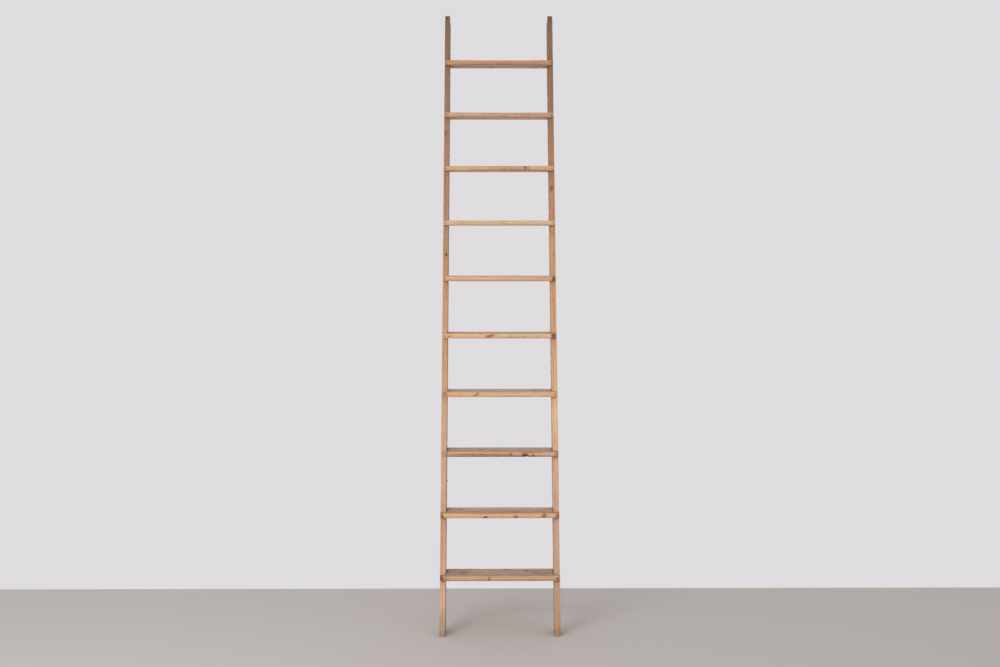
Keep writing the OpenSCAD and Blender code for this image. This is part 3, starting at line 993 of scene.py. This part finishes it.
def driven_nails(name, model, places, node):
    """A copy of the nail at every place, each dented its own way, joined as one piece."""
    nails = []
    for place in places:
        make_active(model)
        bpy.ops.object.duplicate()
        nail = bpy.context.object
        put(nail, place)
        wear(nail, "dented", 0.0016, 0.0004)
        nails.append(nail)
    bpy.ops.object.select_all(action="DESELECT")
    for nail in nails:
        nail.select_set(True)
    bpy.context.view_layer.objects.active = nails[0]
    bpy.ops.object.join()
    piece = nails[0]
    finish_shape(piece, name)
    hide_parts(node)
    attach(piece, "root")
    piece.data.materials.clear()
    piece.data.materials.append(iron)


ear_nail = hammered_nail(EAR_NAIL_RADIUS, NAIL_LENGTH)
side_nail = hammered_nail(SIDE_NAIL_RADIUS, NAIL_LENGTH)
for side, side_name in ((-1, "left"), (1, "right")):
    ear_places = [
        ear_nail_place(n, side) for n, short in enumerate(EARS_SHORT[side], 1) if takes_nail(short)]
    driven_nails("ear_nail_heads_" + side_name, ear_nail, ear_places, "ear_nails_" + side_name)
    side_places = [
        side_nail_place(n, side, y) for n in range(1, TREAD_COUNT + 1) for y in SIDE_NAIL_Y]
    driven_nails("side_nail_heads_" + side_name, side_nail, side_places, "side_nails_" + side_name)
old_nail_at = Vector((-INNER_X + 0.007, OLD_NAIL_DEPTH, OLD_NAIL_HEIGHT / math.cos(LEAN)))
old_nail_place = at_stiles() @ Matrix.Translation(old_nail_at) @ Matrix.Rotation(math.radians(90), 4, "Y")
short_nail = hammered_nail(SIDE_NAIL_RADIUS, OLD_NAIL_LENGTH)
driven_nails("old_nail_left_in", short_nail, [old_nail_place], "old_nail")
for model in (ear_nail, side_nail, short_nail):
    bpy.data.objects.remove(model)


# The set: a plain pale floor that ends just behind the ladder's top, a pale room all round it, and
# one broad soft light from the front left. The camera stands level with the ladder's middle.
FLOOR_WIDTH = 9
FLOOR_DEPTH = 5
bpy.ops.mesh.primitive_plane_add(size=1, location=(0, cad_high.y + 0.001 - FLOOR_DEPTH / 2, 0))
floor = bpy.context.object
floor.name = "floor"
floor.scale = (FLOOR_WIDTH, FLOOR_DEPTH, 1)
make_active(floor)
bpy.ops.object.transform_apply(location=True, rotation=True, scale=True)
pale = bpy.data.materials.new("pale_floor")
pale.use_nodes = True
pale.node_tree.nodes["Principled BSDF"].inputs["Base Color"].default_value = (0.52, 0.49, 0.46, 1)
pale.node_tree.nodes["Principled BSDF"].inputs["Roughness"].default_value = 0.8
floor.data.materials.append(pale)

world = bpy.data.worlds.new("pale_room")
bpy.context.scene.world = world
world.use_nodes = True
world.node_tree.nodes["Background"].inputs["Color"].default_value = (0.735, 0.72, 0.735, 1)
world.node_tree.nodes["Background"].inputs["Strength"].default_value = 1.0

light = bpy.data.lights.new("window", "AREA")
light.shape = "RECTANGLE"
light.size = 2.5
light.size_y = 2.0
light.energy = 115
window = bpy.data.objects.new("window", light)
window.location = (-2.6, -4.4, 2.4)
window.rotation_euler = (Vector((0, 0, 1.5)) - window.location).to_track_quat("-Z", "Y").to_euler()
bpy.context.scene.collection.objects.link(window)

lens = bpy.data.cameras.new("camera")
lens.sensor_width = 36.0
lens.lens = 44.34
camera = bpy.data.objects.new("camera", lens)
camera.location = (-0.0472, -6.0141, 1.5401)
camera.rotation_euler = Euler((math.radians(90 - 1.675), 0, math.radians(-0.483)))
bpy.context.scene.collection.objects.link(camera)
bpy.context.scene.camera = camera
bpy.context.scene.view_settings.view_transform = "Standard"
